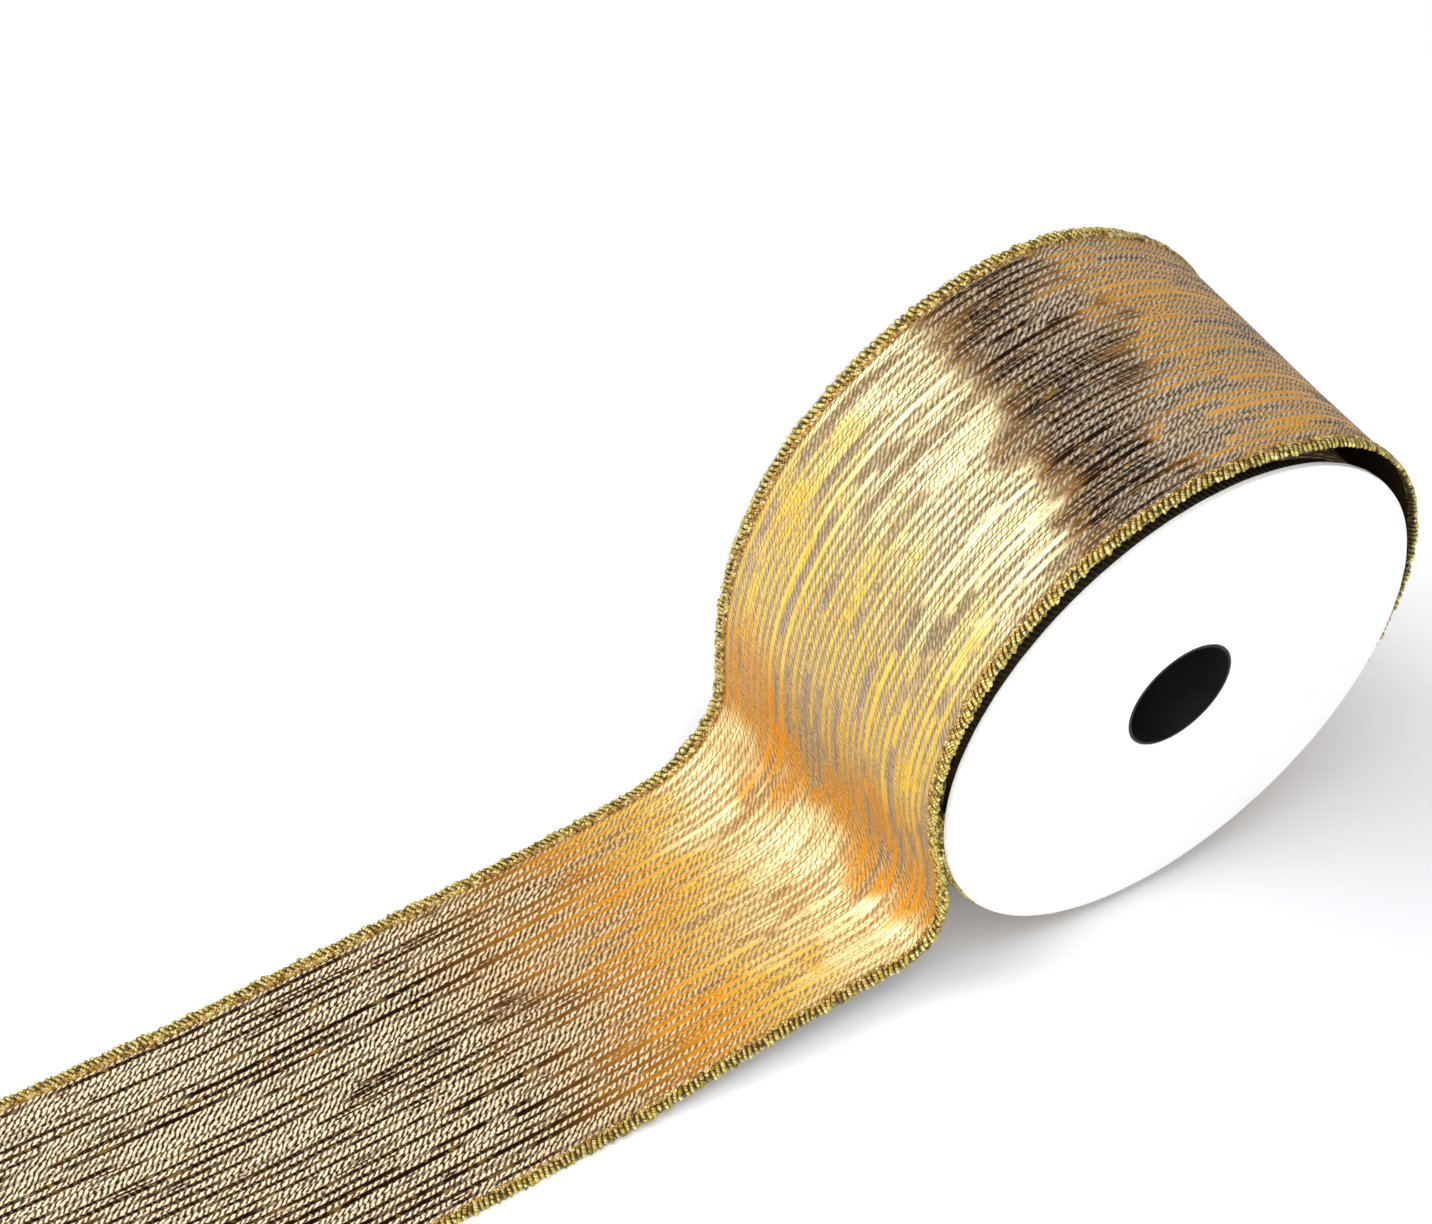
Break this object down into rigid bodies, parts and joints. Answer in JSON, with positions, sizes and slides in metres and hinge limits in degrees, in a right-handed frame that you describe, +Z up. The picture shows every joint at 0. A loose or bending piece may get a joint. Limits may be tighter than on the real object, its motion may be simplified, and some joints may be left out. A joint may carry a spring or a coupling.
{
  "type": "ribbon spool",
  "caption": "Spool of wired ribbon: cloth with metallic streaks and gold bound edges, wound on a white paperboard reel with a round bore, its loose end run out flat.",
  "frame": {"origin": "middle of the spindle bore, half way between the flanges", "axes": "+Y along the bore from the front flange to the back flange, +Z up from the table, +X away from the loose end"},
  "size_m": [0.2855, 0.0727, 0.1119],
  "materials": {
    "white_board": "white coated paperboard, grey at the cut edge",
    "core_plastic": "black moulded plastic",
    "glue": "dried hot-melt glue",
    "tape": "double-sided paper tape",
    "ribbon_cloth": "grey-beige weave with gold and bronze foil streaks",
    "gold_thread": "overlocked metallic gold thread",
    "edge_wire": "annealed wire"
  },
  "bodies": {
    "unwound_ribbon": {"outer_turn_cloth": "ribbon_cloth", "outer_turn_front_binding": "gold_thread", "outer_turn_back_binding": "gold_thread", "outer_turn_front_wire": "edge_wire", "outer_turn_back_wire": "edge_wire", "loose_end_cloth": "ribbon_cloth", "loose_end_front_binding": "gold_thread", "loose_end_back_binding": "gold_thread", "loose_end_front_wire": "edge_wire", "loose_end_back_wire": "edge_wire"},
    "reel": {"front_flange": "white_board", "back_flange": "white_board", "front_core_half": "core_plastic", "back_core_half": "core_plastic", "front_glue_ring": "glue", "back_glue_ring": "glue", "core_tape": "tape", "wound_cloth": "ribbon_cloth", "wound_front_binding": "gold_thread", "wound_back_binding": "gold_thread", "wound_front_wire": "edge_wire", "wound_back_wire": "edge_wire"}
  },
  "joints": [
    {"name": "reel_turn", "type": "hinge", "parent": "unwound_ribbon", "child": "reel", "pos_m": [0, 0, 0], "axis": [0, -1, 0], "continuous": true}
  ]
}
